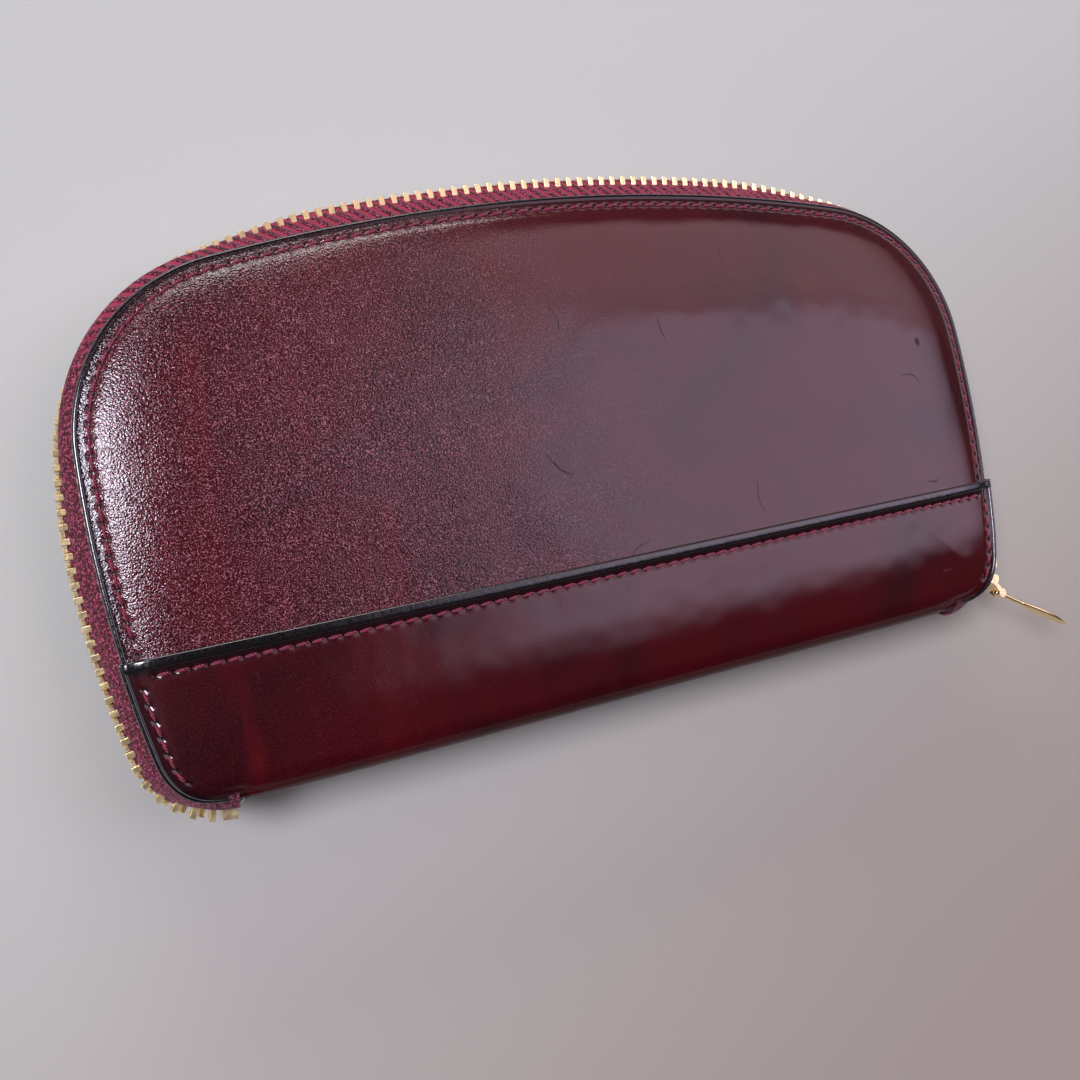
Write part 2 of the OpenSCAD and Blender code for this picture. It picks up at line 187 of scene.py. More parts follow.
def chain_out(s):
    """How far the chain stands outside the outline: out over the dome, in at the shoulders."""
    u = np.abs(np.asarray(s, float) - RIM_LENGTH / 2)
    shoulder = (CHAIN_SHOULDER - CHAIN_DOME) * smoothstep(44, 84, u)
    return CHAIN_DOME + shoulder + (CHAIN_SIDE - CHAIN_SHOULDER) * smoothstep(94, 134, u)


# ---------------------------------------------------------------- mesh helpers
def to_row(x, h, t, side):
    """Row-frame millimetres of a cover point; side is +1 for the front cover and -1 for the back."""
    y = np.asarray(h, float) - HALF_Y
    z = MID + side * np.asarray(t, float)
    return np.stack(np.broadcast_arrays(x, y, z), -1)


def make_mesh(name, points, faces, material, body=None, replaces=(), slot=None, attributes=None, smooth=True):
    """A mesh object from row-frame millimetres."""
    data = bpy.data.meshes.new(name)
    data.from_pydata((np.asarray(points).reshape(-1, 3) * MM).tolist(), [], [tuple(f) for f in faces])
    data.polygons.foreach_set("use_smooth", [smooth] * len(data.polygons))
    for key, values in (attributes or {}).items():
        layer = data.attributes.new(key, "FLOAT", "POINT")
        layer.data.foreach_set("value", np.asarray(values, float).reshape(-1))
    data.materials.append(material)
    data.validate()
    obj = bpy.data.objects.new(name, data)
    bpy.context.scene.collection.objects.link(obj)
    if body:
        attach(obj, body)
    if replaces:
        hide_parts(*replaces)
    return obj


def grid_faces(nu, nv, start=0, close_u=False, close_v=False, flip=False):
    faces = []
    for i in range(nu if close_u else nu - 1):
        for j in range(nv if close_v else nv - 1):
            a = start + i * nv + j
            b = start + ((i + 1) % nu) * nv + j
            c = start + ((i + 1) % nu) * nv + (j + 1) % nv
            d = start + i * nv + (j + 1) % nv
            faces.append((a, d, c, b) if flip else (a, b, c, d))
    return faces


def sheet_faces(nu, nv, flip=False):
    """Faces of a closed sheet: an upper grid, a lower grid and the rim that joins them."""
    n = nu * nv
    faces = grid_faces(nu, nv, 0, flip=flip) + grid_faces(nu, nv, n, flip=not flip)
    ring = [j for j in range(nv)] + [i * nv + nv - 1 for i in range(1, nu)]
    ring += [(nu - 1) * nv + j for j in range(nv - 2, -1, -1)] + [i * nv for i in range(nu - 2, 0, -1)]
    for a, b in zip(ring, ring[1:] + ring[:1]):
        faces.append((a, b, b + n, a + n) if flip else (b, a, a + n, b + n))
    return faces


def sheet(name, upper, lower, material, side=1, **rest):
    """A closed sheet between two grids of row-frame points."""
    nu, nv = upper.shape[:2]
    values = rest.pop("attributes", {})
    attributes = {k: np.concatenate([np.ravel(v), np.ravel(v)]) for k, v in values.items()}
    points = np.concatenate([upper.reshape(-1, 3), lower.reshape(-1, 3)])
    faces = sheet_faces(nu, nv, flip=side > 0)
    return make_mesh(name, points, faces, material, attributes=attributes, **rest)


def unit(v):
    return v / np.maximum(np.linalg.norm(v, axis=-1, keepdims=True), 1e-9)


def sweep(path, up, profile, close=False):
    """Points and faces of a profile carried along a path. profile is (across, up) pairs in millimetres."""
    path, up, profile = np.asarray(path), np.asarray(up), np.asarray(profile)
    if close:
        along = np.roll(path, -1, 0) - np.roll(path, 1, 0)
    else:
        along = np.gradient(path, axis=0)
    along = unit(along)
    across = unit(np.cross(along, up))
    raised = unit(np.cross(across, along))
    points = (path[:, None] + across[:, None] * profile[None, :, :1] + raised[:, None] * profile[None, :, 1:])
    n, m = points.shape[:2]
    faces = grid_faces(n, m, close_u=close, close_v=True)
    if not close:
        faces += [tuple(range(m)), tuple(range((n - 1) * m, n * m))[::-1]]
    return points.reshape(-1, 3), faces


def rounded(width, height, n=16, power=0.55, centre=(0.0, 0.0)):
    """A rounded bar's cross-section."""
    a = np.linspace(0, 2 * math.pi, n, endpoint=False)
    x = np.sign(np.cos(a)) * np.abs(np.cos(a)) ** power * width / 2
    y = np.sign(np.sin(a)) * np.abs(np.sin(a)) ** power * height / 2
    return np.stack([x + centre[0], y + centre[1]], 1)


def copies(template, faces, origins, along, up):
    """One mesh of many copies of a template given in (along, across, up) millimetres."""
    along, up = unit(np.asarray(along, float)), np.asarray(up, float)
    across = unit(np.cross(up, along))
    raised = unit(np.cross(along, across))
    axes = np.stack([along, across, raised], 1)
    points = np.einsum("va,kab->kvb", np.asarray(template), axes) + np.asarray(origins)[:, None]
    count = len(template)
    all_faces = [tuple(i + k * count for i in f) for k in range(len(origins)) for f in faces]
    return points.reshape(-1, 3), all_faces


# ---------------------------------------------------------------- materials
class Nodes:
    """Short-hand for building a material's or the world's nodes."""

    def __init__(self, owner, shader="Principled BSDF"):
        owner.use_nodes = True
        self.material = owner
        self.tree = owner.node_tree
        self.shader = self.tree.nodes[shader]

    def add(self, kind, **values):
        node = self.tree.nodes.new(kind)
        for key, value in values.items():
            setattr(node, key, value)
        return node

    def link(self, a, b):
        self.tree.links.new(a, b)

    def set(self, **values):
        for key, value in values.items():
            self.shader.inputs[key.replace("_", " ")].default_value = value

    def math(self, operation, a, b=None, c=None):
        node = self.add("ShaderNodeMath", operation=operation)
        for socket, value in zip(node.inputs, (a, b, c)):
            if value is None:
                continue
            if isinstance(value, (int, float)):
                socket.default_value = value
            else:
                self.link(value, socket)
        return node.outputs[0]

    def attribute(self, name):
        return self.add("ShaderNodeAttribute", attribute_name=name).outputs["Fac"]

    def position(self):
        """Object coordinates in millimetres, so that the pattern stays put as the piece moves."""
        scale = self.add("ShaderNodeVectorMath", operation="SCALE")
        self.link(self.add("ShaderNodeTexCoord").outputs["Object"], scale.inputs[0])
        scale.inputs["Scale"].default_value = 1000.0
        return scale.outputs[0]

    def stretched(self, vector, scale):
        node = self.add("ShaderNodeVectorMath", operation="MULTIPLY")
        self.link(vector, node.inputs[0])
        node.inputs[1].default_value = scale
        return node.outputs[0]

    def noise(self, vector, scale, detail=3.0, roughness=0.5, distortion=0.0):
        node = self.add("ShaderNodeTexNoise")
        self.link(vector, node.inputs["Vector"])
        node.inputs["Scale"].default_value = scale
        node.inputs["Detail"].default_value = detail
        node.inputs["Roughness"].default_value = roughness
        node.inputs["Distortion"].default_value = distortion
        return node.outputs["Fac"]

    def voronoi(self, vector, scale, feature="F1", smoothness=None):
        node = self.add("ShaderNodeTexVoronoi", feature=feature)
        self.link(vector, node.inputs["Vector"])
        node.inputs["Scale"].default_value = scale
        if smoothness is not None:
            node.inputs["Smoothness"].default_value = smoothness
        return node.outputs["Distance"]

    def ramp(self, value, low, high, out_low=0.0, out_high=1.0, smooth=True):
        node = self.add("ShaderNodeMapRange", interpolation_type="SMOOTHSTEP" if smooth else "LINEAR")
        self.link(value, node.inputs["Value"])
        for key, number in (("From Min", low), ("From Max", high), ("To Min", out_low), ("To Max", out_high)):
            node.inputs[key].default_value = number
        return node.outputs["Result"]

    def mix(self, factor, a, b, blend="MIX"):
        node = self.add("ShaderNodeMix", data_type="RGBA", blend_type=blend)
        for socket, value in ((node.inputs["Factor"], factor), (node.inputs[6], a), (node.inputs[7], b)):
            if isinstance(value, (int, float)):
                socket.default_value = value
            elif isinstance(value, tuple):
                socket.default_value = (*value, 1.0)
            else:
                self.link(value, socket)
        return node.outputs[2]

    def bump(self, height, distance, strength=1.0, normal=None):
        """distance is the height in millimetres of a full-range pattern."""
        node = self.add("ShaderNodeBump")
        node.inputs["Strength"].default_value = strength
        node.inputs["Distance"].default_value = distance * MM
        self.link(height, node.inputs["Height"])
        if normal is not None:
            self.link(normal, node.inputs["Normal"])
        return node.outputs["Normal"]


WINE_DEEP = (0.020, 0.0010, 0.0026)
WINE = (0.040, 0.0010, 0.0028)
WINE_RED = (0.085, 0.0030, 0.0042)
PAINTED_SPARKLE_PINK = (0.30, 0.105, 0.135)
BLACK_EDGE = (0.0045, 0.0034, 0.0042)
DYED_MARGIN = (0.010, 0.0022, 0.0036)
HOLE_PAINTED_SHADE = (0.010, 0.0008, 0.0022)


def pebbles(m, p):
    """Close-set leather pebbles, about 0.3 mm across and a little uneven, from 0 in the creases to 1."""
    wobble = m.add("ShaderNodeTexNoise")
    m.link(p, wobble.inputs["Vector"])
    wobble.inputs["Scale"].default_value = 2.0
    warp = m.add("ShaderNodeVectorMath", operation="MULTIPLY_ADD")
    m.link(wobble.outputs["Color"], warp.inputs[0])
    warp.inputs[1].default_value = (0.5, 0.5, 0.5)
    m.link(p, warp.inputs[2])
    cells = m.voronoi(warp.outputs[0], 2.6, "SMOOTH_F1", 0.3)
    fine = m.noise(p, 2.6, 2.0)
    return m.math("MULTIPLY_ADD", fine, 0.5, m.math("SUBTRACT", 1.0, cells)), fine


def leather(name, smooth_band):
    """Glazed calf leather: pebble grain, deep at one end of the cover and polished away at the other."""
    m = Nodes(bpy.data.materials.new(name))
    p = m.position()
    axes = m.add("ShaderNodeSeparateXYZ")
    m.link(p, axes.inputs[0])
    edge_of_polish = m.math("MULTIPLY_ADD", m.noise(p, 0.03, 2.0), 50.0, axes.outputs["X"])
    polish = m.ramp(edge_of_polish, -45.0, 48.0, 1.0, 0.05)
    grain, fine = pebbles(m, p)

    streak = m.noise(m.stretched(p, (1.0, 0.10, 1.0)), 0.16, 4.0, 0.6)
    cloud = m.noise(p, 0.03, 3.0, 0.55, 0.6)
    colour = m.mix(m.ramp(cloud, 0.30, 0.62), WINE_DEEP, WINE)
    streak = m.math("MULTIPLY", m.ramp(streak, 0.50, 0.80), m.math("MULTIPLY", polish, 0.5))
    colour = m.mix(streak, colour, WINE_RED)
    curve = m.math("ABSOLUTE", m.math("SUBTRACT", m.noise(p, 0.035, 1.0), 0.5))
    hairline = m.ramp(curve, 0.0, 0.0035, 1.0, 0.0)
    curve = m.math("MULTIPLY", hairline, m.ramp(m.noise(p, 0.06, 1.0), 0.58, 0.66))
    colour = m.mix(m.math("MULTIPLY", curve, 0.7), colour, BLACK_EDGE)
    # Pale pink specks on the grain, more where it is deep: painted sparkle highlights.
    wear_and_sparkle = m.ramp(m.noise(p, 3.8, 1.0, 0.6), 0.54, 0.68)
    wear_and_sparkle = m.math("MULTIPLY", wear_and_sparkle, m.math("MULTIPLY", polish, 0.06 if smooth_band else 0.95))
    colour = m.mix(wear_and_sparkle, colour, PAINTED_SPARKLE_PINK)
    margin = m.ramp(m.attribute("edge_d"), 0.9, 2.4)
    colour = m.mix(margin, DYED_MARGIN, colour)
    # Needle holes darkened: painted shade in the recesses.
    colour = m.mix(m.ramp(m.attribute("hole"), 0.25, 0.6), colour, HOLE_PAINTED_SHADE)
    m.link(colour, m.shader.inputs["Base Color"])

    relief = m.math("MULTIPLY", grain, m.math("MULTIPLY", polish, 0.10 if smooth_band else 1.0))
    wave = m.noise(p, 0.05, 2.0, 0.5)
    scratch = m.noise(m.stretched(p, (0.10, 1.2, 1.0)), 0.6, 4.0, 0.7, 0.8)
    scratch = m.ramp(scratch, 0.72, 0.78)
    normal = m.bump(wave, 0.35)
    normal = m.bump(relief, 0.06, 1.0, normal)
    normal = m.bump(scratch, -0.01, 1.0, normal)
    m.link(normal, m.shader.inputs["Normal"])
    m.link(normal, m.shader.inputs["Coat Normal"])
    m.link(m.ramp(fine, 0.3, 0.7, 0.42, 0.52), m.shader.inputs["Roughness"])
    glaze = m.math("SUBTRACT", 1.0, m.math("MULTIPLY", curve, 0.8))
    handled = m.ramp(axes.outputs["Y"], -49.0, -44.0, 0.25, 1.0)
    m.link(m.math("MULTIPLY", glaze, handled), m.shader.inputs["Coat Weight"])
    m.link(m.ramp(polish, 0.1, 1.0, 0.06, 0.09), m.shader.inputs["Coat Roughness"])
    m.set(Specular_IOR_Level=0.05, Coat_IOR=1.5)
    return m.material


def edge_paint():
    """Thick black edge paint, glossy and a little uneven."""
    m = Nodes(bpy.data.materials.new("edge_paint"))
    p = m.position()
    wear_and_sparkle = m.ramp(m.noise(p, 0.55, 4.0, 0.65), 0.66, 0.8)
    tone = m.mix(m.math("MULTIPLY", wear_and_sparkle, 0.5), BLACK_EDGE, (0.02, 0.010, 0.011))
    m.link(tone, m.shader.inputs["Base Color"])
    m.link(m.bump(m.noise(p, 0.8, 3.0), 0.08), m.shader.inputs["Normal"])
    m.link(m.ramp(m.noise(p, 1.5, 2.0), 0.3, 0.7, 0.12, 0.26), m.shader.inputs["Roughness"])
    m.set(Coat_Weight=0.6, Coat_Roughness=0.08)
    return m.material


def thread():
    """Waxed sewing thread with a visible twist."""
    m = Nodes(bpy.data.materials.new("thread"))
    p = m.position()
    twist = m.add("ShaderNodeTexWave", wave_type="BANDS", bands_direction="DIAGONAL")
    m.link(p, twist.inputs["Vector"])
    twist.inputs["Scale"].default_value = 1.1
    twist.inputs["Distortion"].default_value = 1.0
    # Lighter on the twist's crests and darker in its grooves: painted highlight and painted shade.
    tone = m.mix(twist.outputs["Fac"], (0.05, 0.0030, 0.010), (0.30, 0.032, 0.075))
    m.link(tone, m.shader.inputs["Base Color"])
    m.link(m.bump(twist.outputs["Fac"], 0.08), m.shader.inputs["Normal"])
    m.set(Roughness=0.6, Sheen_Weight=0.2, Sheen_Roughness=0.4, Specular_IOR_Level=0.25)
    return m.material


def zip_tape(name):
    """Twill zip tape: a rib at each tooth, crossed by the finer yarns."""
    m = Nodes(bpy.data.materials.new(name))
    along, across = m.attribute("rib_s"), m.attribute("rib_v")
    skew = m.math("MULTIPLY_ADD", across, 0.8, along)
    rib = m.math("SINE", m.math("MULTIPLY", skew, 2 * math.pi / TOOTH_PITCH))
    yarn = m.math("SINE", m.math("MULTIPLY", across, 2 * math.pi / 0.62))
    slope = m.math("MULTIPLY_ADD", across, -1.2, along)
    twill = m.math("SINE", m.math("MULTIPLY", slope, 2 * math.pi / 0.83))
    fuzz = m.noise(m.position(), 2.9, 2.0, 0.6)
    speck = m.ramp(m.noise(m.position(), 2.1, 2.0, 0.75), 0.52, 0.60)
    ribbed = m.math("MULTIPLY_ADD", twill, 0.28, m.math("MULTIPLY", rib, 0.3))
    height = m.math("MULTIPLY_ADD", yarn, 0.30, ribbed)
    height = m.math("MULTIPLY_ADD", fuzz, 0.8, height)
    # Darker in the weave's hollows and lighter on its raised yarns: painted shade and painted highlight.
    painted_weave_shade = m.ramp(height, -0.3, 1.1)
    colour = m.mix(painted_weave_shade, (0.016, 0.0006, 0.0028), (0.085, 0.0025, 0.012))
    colour = m.mix(m.math("MULTIPLY", speck, 0.8), colour, (0.40, 0.075, 0.14))
    axes = m.add("ShaderNodeSeparateXYZ")
    m.link(m.position(), axes.inputs[0])
    # Over the dome the ribs are raised and their crests painted a lighter pink: painted highlight, with a
    # matching bump.
    rib_relief_and_highlight = m.math("MULTIPLY", m.ramp(axes.outputs["Y"], 24.0, 40.0), m.ramp(rib, -0.6, 0.8))
    colour = m.mix(rib_relief_and_highlight, colour, (0.26, 0.022, 0.050))
    m.link(colour, m.shader.inputs["Base Color"])
    ribbed = m.bump(rib_relief_and_highlight, 0.4)
    m.link(m.bump(height, 0.13, 1.0, ribbed), m.shader.inputs["Normal"])
    m.set(Roughness=0.6, Sheen_Weight=0.12, Sheen_Roughness=0.35, Specular_IOR_Level=0.2)
    m.shader.inputs["Sheen Tint"].default_value = (1.0, 0.62, 0.72, 1.0)
    return m.material


def gold(name, roughness, wear):
    """Pale gold plating with faint scratches and small dull spots."""
    m = Nodes(bpy.data.materials.new(name))
    p = m.position()
    dull = m.noise(p, 0.9, 4.0, 0.6)
    tone = m.mix(m.ramp(dull, 0.5, 0.8), (1.0, 0.80, 0.44), (0.82, 0.62, 0.32))
    m.link(tone, m.shader.inputs["Base Color"])
    m.link(m.ramp(dull, 0.35, 0.75, roughness, roughness + 0.16), m.shader.inputs["Roughness"])
    m.link(m.bump(m.noise(m.stretched(p, (1.0, 1.0, 6.0)), 1.4, 3.0), wear), m.shader.inputs["Normal"])
    m.set(Metallic=1.0)
    return m.material


def inner_leather():
    """Thin matt leather of the inside pockets."""
    m = Nodes(bpy.data.materials.new("inner_leather"))
    p = m.position()
    grain = m.voronoi(p, 1.3, "SMOOTH_F1", 0.4)
    colour = m.mix(m.ramp(m.noise(p, 0.05, 3.0), 0.3, 0.7), (0.045, 0.004, 0.007), (0.085, 0.008, 0.013))
    m.link(colour, m.shader.inputs["Base Color"])
    m.link(m.bump(grain, 0.06), m.shader.inputs["Normal"])
    m.set(Roughness=0.5, Specular_IOR_Level=0.4)
    return m.material


def lining_cloth():
    """Plain-woven dark lining."""
    m = Nodes(bpy.data.materials.new("lining_cloth"))
    p = m.position()
    x = m.add("ShaderNodeSeparateXYZ")
    m.link(p, x.inputs[0])
    warp = m.math("SINE", m.math("MULTIPLY", x.outputs["X"], 2 * math.pi / 0.5))
    weft = m.math("SINE", m.math("MULTIPLY", x.outputs["Y"], 2 * math.pi / 0.5))
    weave = m.math("MULTIPLY", warp, weft)
    tone = m.mix(m.ramp(weave, -1, 1), (0.03, 0.006, 0.009), (0.075, 0.013, 0.019))
    m.link(tone, m.shader.inputs["Base Color"])
    m.link(m.bump(weave, 0.08), m.shader.inputs["Normal"])
    m.set(Roughness=0.7, Sheen_Weight=0.3)
    return m.material


def fibre_board():
    """Pressed fibre board with flecks."""
    m = Nodes(bpy.data.materials.new("fibre_board"))
    p = m.position()
    fleck = m.noise(p, 0.9, 5.0, 0.7)
    tone = m.mix(m.ramp(fleck, 0.35, 0.7), (0.30, 0.25, 0.19), (0.50, 0.44, 0.36))
    m.link(tone, m.shader.inputs["Base Color"])
    m.link(m.bump(fleck, 0.05), m.shader.inputs["Normal"])
    m.set(Roughness=0.85)
    return m.material


PANEL_LEATHER = leather("panel_leather", False)
BAND_LEATHER = leather("band_leather", True)
EDGE = edge_paint()
THREAD = thread()
TAPE = zip_tape("zip_tape")
TEETH_GOLD = gold("teeth_gold", 0.30, 0.03)
SLIDER_GOLD = gold("slider_gold", 0.16, 0.012)
INNER = inner_leather()
LINING = lining_cloth()
BOARD = fibre_board()

SIDES = (("front", 1), ("back", -1))


# ---------------------------------------------------------------- covers
def rim_s_at(height):
    """Distance along the outline from the left foot to the side point at that height."""
    s = np.linspace(0, RIM_LENGTH / 2, 4000)
    points, _ = rim(s)
    return float(np.interp(height, points[:, 1], s))


def rim_samples(low, count):
    """Evenly spaced distances along the outline, between its two points at height low."""
    start = rim_s_at(low)
    return np.linspace(start, RIM_LENGTH - start, count)


def cover_grid(low, insets, steps, s):
    """(x, h, d, s) grids over a cover above height low: rings along the edge, then lines down to low."""
    points, out = rim(s)
    rings = [points - out * d for d in insets]
    last = rings[-1]
    half = -points[0, 0] - insets[-1]
    base = np.stack([np.linspace(-half, half, len(s)), np.full(len(s), low)], 1)
    for k in range(1, steps + 1):
        f = k / steps
        rings.append(last * (1 - f) + base * f)
    grid = np.stack(rings, 1)
    x, h = grid[..., 0], np.maximum(grid[..., 1], low)
    d = edge_distance(x, h)
    d[:, :len(insets)] = np.asarray(insets)[None]
    return x, h, d, np.repeat(s[:, None], grid.shape[1], 1)


RING_INSETS = (0.45, 0.9, 1.3, 1.7, 2.05, 2.3, 2.5, 2.7, 2.9, 3.1, 3.35, 3.8, 4.4, 5.2, 6.3, 7.7, 9.4, 11.4)
COLUMNS_PER_STITCH = 8


def seam_hole(s, d):
    """Depth of the needle holes, one between each stitch and the next."""
    off = (s - RIM_LENGTH / 2 + STITCH_PITCH / 2) % STITCH_PITCH - STITCH_PITCH / 2
    return HOLE_DEPTH * np.exp(-(off / 0.62) ** 4 - ((d - SEAM_INSET) / 0.42) ** 2)


def cover_panel(label, side):
    step = STITCH_PITCH / COLUMNS_PER_STITCH
    columns = int((RIM_LENGTH / 2 - rim_s_at(PANEL_LOW)) / step)
    s = RIM_LENGTH / 2 + np.arange(-columns, columns + 1) * step
    x, h, d, s = cover_grid(PANEL_LOW, RING_INSETS, 17, s)
    t = cover_t(x, h, d) - seam_hole(s, d)
    outer = to_row(x, h, t, side)
    inner = to_row(x, h, t - SKIN_T, side)
    obj = sheet(f"{label}_leather", outer, inner, PANEL_LEATHER, side,
                body=f"{label}_cover", replaces=(f"{label}_panel",), slot="leather_panel",
                attributes={"edge_d": d, "hole": seam_hole(s, d) / HOLE_DEPTH})


def cover_bead(label, side):
    """The painted edge round the cover, flush with the leather and rounded off on the outside."""
    points, _ = rim(rim_samples(PANEL_LOW, 420))
    t = rim_t(points[:, 1])
    path = to_row(points[:, 0], points[:, 1], t, side)
    up = np.tile([0.0, 0.0, float(side)], (len(points), 1))
    profile = np.array([(0.02, -2.3), (-0.08, -1.2), (-0.06, -0.7), (0.02, -0.38), (0.16, -0.16),
                        (0.34, -0.03), (0.55, 0.02), (0.75, 0.0), (0.85, -0.1), (0.9, -1.2),
                        (0.85, -2.3)])
    profile[:, 0] *= side
    verts, faces = sweep(path, up, profile)
    make_mesh(f"{label}_edge", verts, faces, EDGE, f"{label}_cover", (f"{label}_edge_paint",), "edge_paint")


# ---------------------------------------------------------------- band round the spine
def band_width(q, over=BAND_OVER):
    """Half width of the band's cut shape at distance q up from the spine fold."""
    q = np.asarray(q, float)
    side = SIDE_C[0] + np.sqrt(np.maximum((SIDE_R + over) ** 2 - (q - SIDE_C[1]) ** 2, 0))
    corner = FOOT_X + np.sqrt(np.maximum((CORNER_R + over) ** 2 - (q - CORNER_R) ** 2, 0))
    joint = CORNER_R + (CORNER_R + over) * math.cos(SIDE_END)
    return np.where(q > joint, side, np.where(q > -over, corner, FOOT_X))


FOLD_Q = ROLL_H - ROLL_R * math.pi / 2
BAND_FOOT_Q = FOLD_Q - 6.0
BAND_SEAM_Q = BAND_H - BAND_EDGE_W - 1.0
SIDE_SEAM_Q = 6.5
SIDE_SEAM_D = 2.6


def band_point(x, q, lift=0.0):
    """(x, h, t) of the band's outer face, lifted by that much. q runs down from the band's top."""
    x, q = np.broadcast_arrays(np.asarray(x, float), np.asarray(q, float))
    h = np.maximum(q, ROLL_H)
    d = np.where(q > 0, edge_distance(x, np.maximum(q, 0.01)), band_width(q) - np.abs(x))
    d = np.maximum(d + BAND_OVER, 0)
    dip = SEAM_DIP * np.exp(-((q - BAND_SEAM_Q) / 0.8) ** 2) * smoothstep(3, 8, d)
    face = cover_t(x, h, np.maximum(d, 0)) + BAND_LIFT - dip
    turn = np.clip((ROLL_H - q) / ROLL_R, 0, math.pi / 2)
    rolled_h = np.where(q >= ROLL_H, q, ROLL_H - (ROLL_R + lift) * np.sin(turn))
    rolled_t = np.where(q >= ROLL_H, face + lift, face - ROLL_R + (ROLL_R + lift) * np.cos(turn))
    below = np.clip((FOLD_Q - q) / (FOLD_Q - BAND_FOOT_Q), 0, 1)
    t = np.where(q < FOLD_Q, (face - ROLL_R) * (1 - below), rolled_t)
    return x, rolled_h, t


def band_rows():
    top = np.linspace(BAND_H - 0.8, ROLL_H, 68)
    roll = np.linspace(ROLL_H, FOLD_Q, 22)[1:]
    wall = np.linspace(FOLD_Q, BAND_FOOT_Q, 8)[1:]
    return np.concatenate([top, roll, wall])


def band_hinge(obj, side):
    """Bakes the band piece's placement into its mesh, alike on both sides."""
    if side > 0:
        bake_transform(obj)
    else:
        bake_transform(obj)


def band_seam_x():
    """Centres of the stitches along the band's top."""
    half = float(band_width(BAND_H - 3)) - BAND_OVER - SEAM_INSET - 1.2
    count = int(2 * half / STITCH_PITCH)
    return (np.arange(count) - (count - 1) / 2) * STITCH_PITCH


def band_holes(x, q, d):
    """Needle holes of the band's top seam and of the seams down its ends, from 0 to 1."""
    seam_x = band_seam_x()
    off = (x - seam_x[0] + STITCH_PITCH) % STITCH_PITCH - STITCH_PITCH / 2
    top = np.exp(-(off / 0.62) ** 4 - ((q - BAND_SEAM_Q) / 0.45) ** 2) * (np.abs(x) < seam_x[-1] + 2)
    off = (q - SIDE_SEAM_Q + STITCH_PITCH) % STITCH_PITCH - STITCH_PITCH / 2
    ends = np.exp(-(off / 0.62) ** 4 - ((d - SIDE_SEAM_D) / 0.45) ** 2)
    return np.maximum(top, ends * (q > 5.0) * (q < BAND_SEAM_Q - 1.5))


def band_leather(label, side):
    q = band_rows()
    tau = np.linspace(-1, 1, 421)
    tau = np.sin(tau * math.pi / 2) * 0.3 + tau * 0.7
    qq, tt = np.meshgrid(q, tau, indexing="ij")
    inset = 0.8
    width = band_width(qq) - inset
    xx = width * tt
    d = np.where(qq > 0, edge_distance(xx, np.maximum(qq, 0.01)) + BAND_OVER, band_width(qq) - np.abs(xx))
    top_d = np.maximum(BAND_H - BAND_EDGE_W - qq, 0) + 0.9
    hole = band_holes(xx, qq, d)
    upper = to_row(*band_point(xx, qq, -0.3 * hole), side)
    lower = to_row(*band_point(xx, qq, -BAND_T), side)
    names = (f"{label}_band",) + (("spine_wrap",) if side > 0 else ())
    obj = sheet(f"{label}_band_leather", upper, lower, BAND_LEATHER, -side,
                replaces=names, slot="leather_band",
                attributes={"edge_d": np.minimum(d, top_d), "hole": hole})
    band_hinge(obj, side)


def band_frame(x, q, side, lift=0.0):
    """Row-frame points of the band's face and its outward normals."""
    e = 0.05
    here = to_row(*band_point(x, q, lift), side)
    dx = to_row(*band_point(np.asarray(x) + e, q, lift), side) - here
    dq = to_row(*band_point(x, np.asarray(q) + e, lift), side) - here
    return here, unit(np.cross(dx, dq)) * side


def band_side_edges(label, side):
    """Painted edges down both ends of the band and round its corners."""
    q = np.concatenate([np.linspace(BAND_H, 1.2, 46), np.linspace(1.0, BAND_FOOT_Q, 40)])
    verts, faces = [], []
    for end in (-1, 1):
        x = end * (band_width(q) - 0.5)
        path, up = band_frame(x, q, side)
        up = unit(up + 0.15 * np.array([0.0, 0.0, side]))
        v, f = sweep(path, up, rounded(1.0, 1.7, 14, 0.65, (0.0, -0.68)))
        first = sum(len(part) for part in verts)
        faces += [tuple(i + first for i in face) for face in f]
        verts.append(v)
    obj = make_mesh(f"{label}_band_sides", np.concatenate(verts), faces, EDGE, slot="edge_paint")
    band_hinge(obj, side)


def band_top_edge(label, side):
    """The raised painted edge along the top of the band."""
    x = np.linspace(-1, 1, 180) * (band_width(BAND_H - 1.1) - 0.4)
    path, up = band_frame(x, np.full_like(x, BAND_H - BAND_EDGE_W / 2), side)
    verts, faces = sweep(path, up, rounded(BAND_EDGE_W - 0.2, 1.5, 18, 0.5, (0, -0.40)))
    make_mesh(f"{label}_band_top_edge", verts, faces, EDGE, f"{label}_cover",
              (f"{label}_band_edge",), "edge_paint")


# ---------------------------------------------------------------- stitches
def stitch_shape(length=2.5, radius=0.29, rings=9, sides=8):
    """One stitch: it rises out of one hole and sinks into the next."""
    verts = []
    for i in range(rings):
        f = i / (rings - 1)
        arch = math.sin(math.pi * f)
        r = radius * (0.4 + 0.6 * arch ** 0.5)
        for k in range(sides):
            a = 2 * math.pi * k / sides
            across = r * math.cos(a) + 0.16 * (f - 0.5)
            verts.append(((f - 0.5) * length, across, r * math.sin(a) + 0.36 * arch - 0.30))
    faces = grid_faces(rings, sides, close_v=True)
    faces += [tuple(range(sides)), tuple(range((rings - 1) * sides, rings * sides))[::-1]]
    return np.array(verts), faces


def panel_stitches(side):
    half = int((RIM_LENGTH / 2 - rim_s_at(BAND_H + 1.6)) / STITCH_PITCH)
    s = RIM_LENGTH / 2 + (np.arange(-half, half) + 0.5) * STITCH_PITCH
    count = len(s)
    points, out = rim(s)
    at = points - out * SEAM_INSET
    t = cover_t(at[:, 0], at[:, 1], np.full(count, SEAM_INSET))
    along = np.stack([out[:, 1], -out[:, 0], np.zeros(count)], 1)
    up = np.tile([0.0, 0.0, float(side)], (count, 1))
    return to_row(at[:, 0], at[:, 1], t, side), along, up


